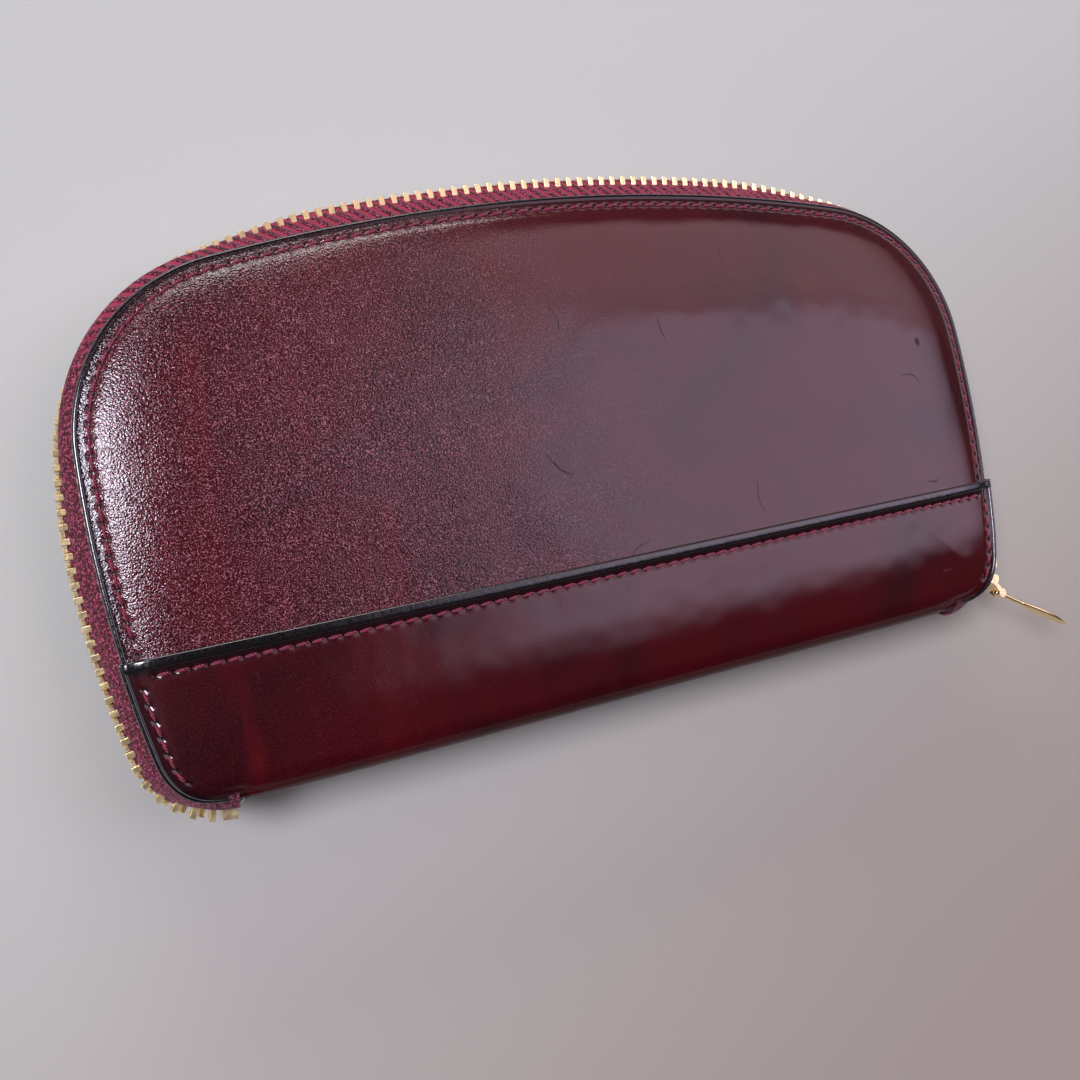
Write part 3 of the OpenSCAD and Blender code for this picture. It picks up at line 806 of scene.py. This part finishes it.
def band_stitches(side):
    rows = []
    x = band_seam_x()
    here, up = band_frame(x, np.full(len(x), BAND_SEAM_Q), side)
    rows.append((here, np.tile([1.0, 0.0, 0.0], (len(x), 1)), up))
    q = np.arange(SIDE_SEAM_Q, BAND_SEAM_Q - 2.0, STITCH_PITCH)
    for end in (-1, 1):
        x = end * (band_width(q) - SIDE_SEAM_D)
        here, up = band_frame(x, q, side)
        ahead, _ = band_frame(end * (band_width(q + 0.3) - SIDE_SEAM_D), q + 0.3, side)
        rows.append((here, ahead - here, up))
    return [np.concatenate(part) for part in zip(*rows)]


def stitching(label, side):
    """The stitches of one cover's seam and of the band's seam on it."""
    shape, faces = stitch_shape()
    here, along, up = panel_stitches(side)
    verts, all_faces = copies(shape, faces, here, along, up)
    make_mesh(f"{label}_cover_stitches", verts, all_faces, THREAD, f"{label}_cover",
              (f"{label}_stitching",), "thread")
    here, along, up = band_stitches(side)
    verts, all_faces = copies(shape, faces, here, along, up)
    obj = make_mesh(f"{label}_band_stitches", verts, all_faces, THREAD, slot="thread")
    band_hinge(obj, side)


# ---------------------------------------------------------------- zip
TEETH_TOP = 1.55


def tape_section(s, h):
    """(out, t) of the tape's outer face from under the cover's edge to the teeth."""
    v = np.linspace(0, 1, 15)[None]
    top = rim_t(h)[:, None] - 1.5
    open_side = smoothstep(0, 12, s) * smoothstep(0, 12, RIM_LENGTH - s)
    hidden = 0.35 + 0.6 * smoothstep(100, 60, np.abs(s - RIM_LENGTH / 2))
    out = ((chain_out(s) + hidden) * (0.35 + 0.65 * open_side))[:, None]
    start, finish = np.full_like(out, -1.3), out
    bulge = 0.6 + 0.7 * np.clip(3.2 - out, 0, 2.1)
    e = start * (1 - v) + finish * v + bulge * np.sin(math.pi * v)
    t = top + (TEETH_TOP - top) * v
    return e, t


def tape(label, side):
    s = np.linspace(0.0, RIM_LENGTH, 520)
    points, out = rim(s)
    e, t = tape_section(s, points[:, 1])
    x = points[:, :1] + out[:, :1] * e
    h = points[:, 1:] + out[:, 1:] * e
    inner_x, inner_h = x - out[:, :1] * 0.5, h - out[:, 1:] * 0.5
    steps = np.hypot(np.diff(e, axis=1), np.diff(t, axis=1))
    across = np.concatenate([np.zeros((len(s), 1)), np.cumsum(steps, 1)], 1)
    sheet(f"{label}_tape", to_row(x, h, t, side), to_row(inner_x, inner_h, t - 0.15, side), TAPE, side,
          body=f"{label}_cover", replaces=(f"{label}_zip_tape",), slot="zip_tape",
          attributes={"rib_s": np.repeat(s[:, None], e.shape[1], 1), "rib_v": across})


def tooth_shape():
    """A square metal tooth: two legs clamp the tape's beaded edge and the head reaches past the middle."""
    rings = ((0.44, 1.12, 0.0), (0.56, 1.24, 0.12), (0.56, 1.25, 2.4), (0.50, 1.15, 3.1), (0.36, 0.95, 3.45))
    cut = 0.12
    verts = []
    for w, d, z in rings:
        verts += [(w, d - cut, z), (w - cut, d, z), (cut - w, d, z), (-w, d - cut, z),
                  (-w, cut - d, z), (cut - w, -d, z), (w - cut, -d, z), (w, cut - d, z)]
    faces = grid_faces(len(rings), 8, close_v=True)
    faces += [tuple(range(8))[::-1], tuple(range(8 * len(rings) - 8, 8 * len(rings)))]
    return np.array(verts), [f[::-1] for f in faces]


def chain_places(first, last, shift):
    count = int((last - first) / TOOTH_PITCH)
    s = first + (np.arange(count) + shift) * (last - first) / count
    points, out = rim(s)
    return points + out * chain_out(s)[:, None], out


def teeth(label, side):
    last = RIM_LENGTH - CORNER_R * (math.pi - SIDE_END)
    places, out = chain_places(3.0, last, 0.25 if side > 0 else 0.75)
    root = 2.75
    origins = to_row(places[:, 0], places[:, 1], root, side)
    along = np.stack([out[:, 1], -out[:, 0], np.zeros(len(out))], 1) * side
    shape, faces = tooth_shape()
    down = np.tile([0.0, 0.0, -float(side)], (len(out), 1))
    verts, all_faces = copies(shape, faces, origins, along, down)
    make_mesh(f"{label}_teeth", verts, all_faces, TEETH_GOLD, f"{label}_cover",
              (f"{label}_zip_teeth",), "zip_metal", smooth=False)


# ---------------------------------------------------------------- inside
def inner_sheet(name, x, h, depth, thickness, side, material, **rest):
    """A layer that follows the padded cover at that depth under its face."""
    t = cover_t(x, h, np.maximum(edge_distance(x, h), 4.0))
    top, low = to_row(x, h, t - depth, side), to_row(x, h, t - depth - thickness, side)
    return sheet(name, top, low, material, side, **rest)


def cover_inside(label, side):
    body = f"{label}_cover"
    x, h, _, _ = cover_grid(10.0, (9.3,), 14, rim_samples(10.0, 160))
    inner_sheet(f"{label}_board", x, h, SKIN_T + 0.02, 0.6, side, BOARD, body=body,
                replaces=(f"{label}_stiffener",), slot="board")
    x, h, _, _ = cover_grid(6.0, (2.5, 4, 6, 9), 14, rim_samples(6.0, 220))
    inner_sheet(f"{label}_lining_sheet", x, h, SKIN_T + 0.64, 0.4, side, LINING, body=body,
                replaces=(f"{label}_lining",), slot="lining")
    tops = [CARD_TOP - k * CARD_STEP for k in range(4)]
    names = [f"{label}_card_backing"] + [f"{label}_card_tier_{k}" for k in (1, 2, 3)]
    for k, (top, node) in enumerate(zip(tops, names)):
        a = np.linspace(-CARD_W / 2, CARD_W / 2, 70)
        corner = 3.0
        b = np.linspace(0, 1, 30)
        xx, ff = np.meshgrid(a, b, indexing="ij")
        end = np.clip((np.abs(xx) - (CARD_W / 2 - corner)) / corner, 0, 1)
        high = top - corner * (1 - np.sqrt(1 - end ** 2)) - 1.2 * np.exp(-((xx / 30) ** 4)) * (k > 0)
        hh = POCKET_LOW + (high - POCKET_LOW) * ff
        inner_sheet(f"{node}_sheet", xx, hh, SKIN_T + 1.06 + 0.5 * k, 0.45, side, INNER, body=body,
                    replaces=(node,), slot="inner_leather")


for label, side in SIDES:
    cover_panel(label, side)
    cover_bead(label, side)
    band_leather(label, side)
    band_side_edges(label, side)
    band_top_edge(label, side)
    stitching(label, side)
    tape(label, side)
    teeth(label, side)
    cover_inside(label, side)


# ---------------------------------------------------------------- CAD pieces that keep their shape
def dress(node, material, bevel=0.0):
    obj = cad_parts[node]
    obj.data.materials.clear()
    obj.data.materials.append(material)
    if bevel:
        soft = obj.modifiers.new("edge", "BEVEL")
        soft.width = bevel * MM
        soft.segments = 2
        soft.limit_method = "ANGLE"
        soft.angle_limit = math.radians(40)


def coin_walls():
    """The two leather walls of the coin pocket, hemmed and stitched along the top."""
    shape, stitch_faces = stitch_shape()
    half, low, cut, hem = COIN_W / 2 + 1.5, POCKET_LOW, 3.5, 4.0
    for name, side in (("front", 1), ("rear", -1)):
        xx, ff = np.meshgrid(np.linspace(-half, half, 181), np.linspace(0, 1, 61), indexing="ij")
        start = low + np.maximum(np.abs(xx) - (half - cut), 0)
        hh = start + (COIN_TOP - start) * ff
        wave = 0.05 * np.sin(xx / 13.0 + hh / 9.0) * np.sin(math.pi * ff)
        turned = 0.22 * smoothstep(COIN_TOP - hem, COIN_TOP - hem + 0.6, hh)
        outer = COIN_WALL + wave + turned
        sheet(f"coin_wall_{name}_leather", to_row(xx, hh, outer, side),
              to_row(xx, hh, np.full_like(xx, COIN_IN), side), INNER, side, body="pocket_core",
              replaces=(f"coin_wall_{name}",), slot="inner_leather")
        x = np.arange(-half + 3.0, half - 2.0, STITCH_PITCH)
        count = len(x)
        here = to_row(x, np.full(count, COIN_TOP - hem + 1.2), np.full(count, COIN_WALL + 0.22), side)
        verts, faces = copies(shape, stitch_faces, here, np.tile([1.0, 0, 0], (count, 1)),
                              np.tile([0, 0, float(side)], (count, 1)))
        make_mesh(f"coin_wall_{name}_stitches", verts, faces, THREAD, "pocket_core", slot="thread")


def coin_edge():
    """The strip that joins the coin walls down both sides and along the bottom."""
    x, low, high, r = COIN_W / 2 - 0.3, POCKET_LOW + 2.3, COIN_TOP - 12.5, 4.0
    a = np.linspace(0, math.pi / 2, 9)
    left = [(-x, h) for h in np.linspace(high, low + r, 12)]
    corner = [(-x + r - r * math.cos(b), low + r - r * math.sin(b)) for b in a[1:-1]]
    flat = [(v, low) for v in np.linspace(-x + r, 0, 30)]
    half = left + corner + flat
    line = np.array(half + [(-v, h) for v, h in half[-2::-1]])
    path = to_row(line[:, 0], line[:, 1], 0.0, 1)
    pinch = np.array([(0.3, -2.25), (0.3, 2.25), (-0.3, 2.25), (-0.14, 1.2), (-0.08, 0.0),
                      (-0.14, -1.2), (-0.3, -2.25)])
    verts, faces = sweep(path, np.tile([0.0, 0.0, 1.0], (len(path), 1)), pinch)
    make_mesh("coin_edge_strip_leather", verts, faces, INNER, "pocket_core",
              ("coin_edge_strip",), "inner_leather")


def coin_zip():
    """Woven tapes and square teeth of the coin pocket's zip."""
    half = COIN_W / 2 - 1.0
    shape, tooth_faces = tooth_shape()
    shape = shape * np.array([0.95, 0.62, 0.48])
    profile = np.array([(COIN_TOP - 8.4, 1.85), (COIN_TOP - 6.0, 1.82), (COIN_TOP - 3.0, 1.86),
                        (COIN_TOP - 0.9, 1.84), (COIN_TOP - 0.35, 1.7), (COIN_TOP - 0.15, 1.45),
                        (COIN_TOP - 0.1, 1.22)])
    x = np.linspace(-half, half, 300)
    for k, (name, side) in enumerate((("front", 1), ("rear", -1))):
        xx, h = np.meshgrid(x, profile[:, 0], indexing="ij")
        t = np.broadcast_to(profile[None, :, 1], xx.shape)
        run = np.concatenate([[0.0], np.cumsum(np.hypot(*np.diff(profile, axis=0).T))])
        upper = to_row(xx, h, t + 0.4, side)
        lower = to_row(xx, h - 0.3, t, side)
        sheet(f"coin_tape_{name}_cloth", upper, lower, TAPE, side,
              body="pocket_core", replaces=(f"coin_tape_{name}",), slot="zip_tape",
              attributes={"rib_s": xx, "rib_v": np.broadcast_to(run[None], xx.shape)})
        first = -int((COIN_W / 2 - 10) / TOOTH_PITCH)
        last = int((COIN_W / 2 - 22) / TOOTH_PITCH)
        at = (np.arange(first, last + 1) + 0.5 * k) * TOOTH_PITCH
        count = len(at)
        origins = to_row(at, np.full(count, COIN_TOP - 0.25), np.full(count, 1.18), side)
        verts, faces = copies(shape, tooth_faces, origins, np.tile([float(side), 0, 0], (count, 1)),
                              np.tile([0, 0, -float(side)], (count, 1)))
        make_mesh(f"coin_teeth_{name}_metal", verts, faces, TEETH_GOLD, "pocket_core",
                  (f"coin_teeth_{name}",), "zip_metal", smooth=False)


def gussets():
    """Soft folded strips at the ends of each compartment: one leg on the cover, one on the coin wall."""
    cover, wall = MID - 3.3 - 0.2, COIN_WALL + 0.25
    middle, radius = (cover + wall) / 2, (cover - wall) / 2
    low, high = POCKET_LOW + 2, COIN_TOP - 8.5
    a = np.linspace(math.pi / 2, -math.pi / 2, 17)
    leg = np.linspace(GUSSET_X + 6.3, GUSSET_X, 5)
    line = [(v, cover) for v in leg] + [(GUSSET_X - radius * math.cos(b), middle + radius * math.sin(b))
                                        for b in a[1:-1]] + [(v, wall) for v in leg[::-1]]
    line = np.array(line)
    h = np.linspace(low, high, 60)
    for end in (-1, 1):
        for name, side in (("front", 1), ("rear", -1)):
            xx, hh = np.meshgrid(line[:, 0], h, indexing="ij")
            tt = np.broadcast_to(line[:, 1:2], xx.shape)
            fold = np.clip((GUSSET_X - xx) / radius, 0, 1)
            crease = fold * (0.22 * np.sin(hh / 5.5 + end) + 0.12 * np.sin(hh / 2.3))
            xx = xx + crease
            normal_x = -np.clip((GUSSET_X - line[:, 0]) / radius, 0, 1)[:, None]
            normal_t = np.sign(line[:, 1] - middle)[:, None] * np.sqrt(1 - normal_x ** 2)
            upper = to_row(end * (xx + 0.17 * normal_x), hh, tt + 0.17 * normal_t, side)
            lower = to_row(end * (xx - 0.17 * normal_x), hh, tt - 0.17 * normal_t, side)
            where = "left" if end < 0 else "right"
            obj = sheet(f"gusset_{where}_{name}_leather", upper, lower, INNER, side * end,
                        replaces=(f"gusset_{where}_{name}",), slot="inner_leather")
            if side > 0:
                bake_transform(obj)
            else:
                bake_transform(obj)


def spine_pieces():
    """The board inside the spine and the leather tongue that hangs the coin pocket on it."""
    half = FOOT_X - 3.0
    xx, tt = np.meshgrid(np.linspace(-half, half, 121), np.linspace(-6.5, 6.5, 27), indexing="ij")
    crown = 0.08 * np.cos(tt / 6.5 * math.pi / 2) + 0.03 * np.sin(xx / 7.0)
    top = to_row(xx, 0.62 + crown, tt, 1)
    low = to_row(xx, np.full_like(xx, 0.05), tt, 1)
    sheet("spine_board_fibre", top, low, BOARD, -1,
          body="pocket_core", replaces=("spine_board",), slot="board")
    half = FOOT_X - 7.0
    xx, hh = np.meshgrid(np.linspace(-half, half, 151), np.linspace(0.85, POCKET_LOW + 2, 16), indexing="ij")
    ripple = 0.05 * np.sin(xx / 4.0 + hh)
    front = to_row(xx, hh, 0.25 + ripple, 1)
    rear = to_row(xx, hh, -0.25 + ripple, 1)
    sheet("pocket_tongue_leather", front, rear, INNER, 1,
          body="pocket_core", replaces=("pocket_tongue",), slot="inner_leather")


def pull_leaf():
    """The zip pull: an eye, a slim neck and a long leaf-shaped blade with a raised middle."""
    eye = np.array([103.145, -51.730, MID])
    turn = math.radians(-31)
    ahead = np.array([math.cos(turn), math.sin(turn), 0])
    across = np.array([-math.sin(turn), math.cos(turn), 0])
    neck, tip = 7.8, 23.5
    along = np.concatenate([np.linspace(0.85, neck, 12), np.linspace(neck, tip, 40)[1:]])
    v = np.clip((along - neck) / (tip - neck), 0, 1)
    wide = 0.75 * (1 - v) + 1.9 * np.maximum(np.sin(math.pi * v ** 1.15), 0) ** 0.7 + 0.03
    thick = 0.50 + 0.16 * np.sin(math.pi * v) - 0.25 * v ** 8
    a = np.linspace(0, 2 * math.pi, 24, endpoint=False)
    ridge = np.sign(np.sin(a)) * np.abs(np.sin(a)) ** 0.7
    points = (eye + along[:, None, None] * ahead
              + (wide[:, None] * np.cos(a))[..., None] * np.array([0, 0, 1.0])
              + (thick[:, None] * ridge)[..., None] * across)
    faces = grid_faces(len(along), 24, close_v=True)
    faces += [tuple(range(24))[::-1], tuple(range(24 * (len(along) - 1), 24 * len(along)))]
    around = np.linspace(0, 2 * math.pi, 36, endpoint=False)[:, None]
    ring = eye + 0.81 * (np.cos(around) * ahead + np.sin(around) * across)
    loop, loop_faces = sweep(ring, np.tile([0.0, 0, 1.0], (36, 1)), rounded(0.46, 1.36, 12, 0.7), close=True)
    faces += [tuple(i + points.shape[0] * 24 for i in f) for f in loop_faces]
    make_mesh("pull_leaf", np.concatenate([points.reshape(-1, 3), loop]), faces, SLIDER_GOLD, "pull_tab",
              ("pull_tab",), "slider_metal")


coin_walls()
coin_edge()
coin_zip()
gussets()
spine_pieces()
pull_leaf()

for node in ("slider_body", "slider_pin", "pull_link", "coin_slider_body", "coin_pull"):
    dress(node, SLIDER_GOLD, 0.18)
for node in ("zip_bottom_stop", "front_top_stop", "back_top_stop"):
    dress(node, TEETH_GOLD, 0.3)


# ---------------------------------------------------------------- floor, light and camera
def floor():
    """A wide pale sheet that the wallet lies on."""
    m = Nodes(bpy.data.materials.new("pale_floor"))
    p = m.position()
    axes = m.add("ShaderNodeSeparateXYZ")
    m.link(p, axes.inputs[0])
    # Darker and warmer towards -Y and +X: painted shade for the light falling off across the floor.
    painted_falloff = m.math("MULTIPLY_ADD", axes.outputs["X"], -0.45, axes.outputs["Y"])
    tone = m.mix(m.ramp(painted_falloff, -210.0, 100.0), (0.262, 0.225, 0.192), (0.452, 0.462, 0.425))
    m.link(tone, m.shader.inputs["Base Color"])
    m.link(m.bump(m.noise(p, 1.3, 3.0), 0.03), m.shader.inputs["Normal"])
    m.set(Roughness=0.8, Specular_IOR_Level=0.2)
    data = bpy.data.meshes.new("floor")
    half = 3.0
    corners = [(-half, -half, 0), (half, -half, 0), (half, half, 0), (-half, half, 0)]
    data.from_pydata(corners, [], [(0, 1, 2, 3)])
    data.materials.append(m.material)
    obj = bpy.data.objects.new("floor", data)
    obj.location.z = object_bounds()[0][2] - 0.0001
    bpy.context.scene.collection.objects.link(obj)
    obj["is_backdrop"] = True


def soft_box(m, u, v, left, right, low, high):
    """A soft-edged patch of the sky. Each side is a (start, end) pair of u or v."""
    inside = m.math("MULTIPLY", m.ramp(u, *left), m.ramp(u, *right, 1.0, 0.0))
    return m.math("MULTIPLY", inside, m.math("MULTIPLY", m.ramp(v, *low), m.ramp(v, *high, 1.0, 0.0)))


def studio():
    """A softly lit room: a pale wall on the right, a window low on the left and a lamp behind the dome.

    u and v are how far a direction leans to +X and to +Y for each unit up.
    """
    world = bpy.data.worlds.new("studio")
    m = Nodes(world, "Background")
    direction = m.add("ShaderNodeSeparateXYZ")
    m.link(m.add("ShaderNodeTexCoord").outputs["Generated"], direction.inputs[0])
    rise = m.math("MAXIMUM", direction.outputs["Z"], 0.05)
    u = m.math("DIVIDE", direction.outputs["X"], rise)
    v = m.math("DIVIDE", direction.outputs["Y"], rise)
    far = 30.0
    patches = (
        ("dark room over and in front",
         (-0.35, -0.25), (far, far + 1), (-far - 1, -far), (0.45, 0.6), (0.04,) * 3),
        ("pale wall", (0.16, 0.52), (0.9, 2.6), (-0.30, -0.12), (0.28, 0.40), (2.15, 1.85, 2.4)),
        ("wall above it", (0.16, 0.52), (0.9, 2.6), (0.28, 0.40), (1.0, 1.3), (1.70, 1.20, 1.35)),
        ("lamp behind", (-1.0, -0.7), (0.8, 1.1), (1.9, 2.3), (3.8, 4.6), (10.0, 10.0, 9.6)),
        ("window", (-1.25, -1.05), (-0.62, -0.46), (0.03, 0.22), (0.50, 0.65), (33.0, 32.5, 38.0)),
    )
    colour = (0.09, 0.085, 0.09)
    for _, left, right, low, high, glow in patches:
        colour = m.mix(soft_box(m, u, v, left, right, low, high), colour, glow)
    horizon = m.ramp(direction.outputs["Z"], 0.04, 0.16, 1.0, 0.0)
    m.link(m.mix(horizon, colour, (0.7, 0.69, 0.7)), m.shader.inputs["Color"])
    bpy.context.scene.world = world


floor()
studio()
scene = bpy.context.scene
scene.view_settings.view_transform = "Standard"

# Camera: about 220 mm away, left of the middle and a little rolled. Its lens is an assumption.
camera_data = bpy.data.cameras.new("camera")
camera_data.sensor_width = 36.0
camera_data.lens = 36.0
camera_data.clip_start = 0.01
camera = bpy.data.objects.new("camera", camera_data)
right = Vector((0.907, -0.18744, 0.37768)).normalized()
back = -Vector((0.381, -0.01998, -0.9240)).normalized()
upward = back.cross(right).normalized()
right = upward.cross(back).normalized()
camera.matrix_world = Matrix((right, upward, back)).transposed().to_4x4()
camera.location = (-0.0978, -0.01258, 0.2161)
scene.collection.objects.link(camera)
scene.camera = camera
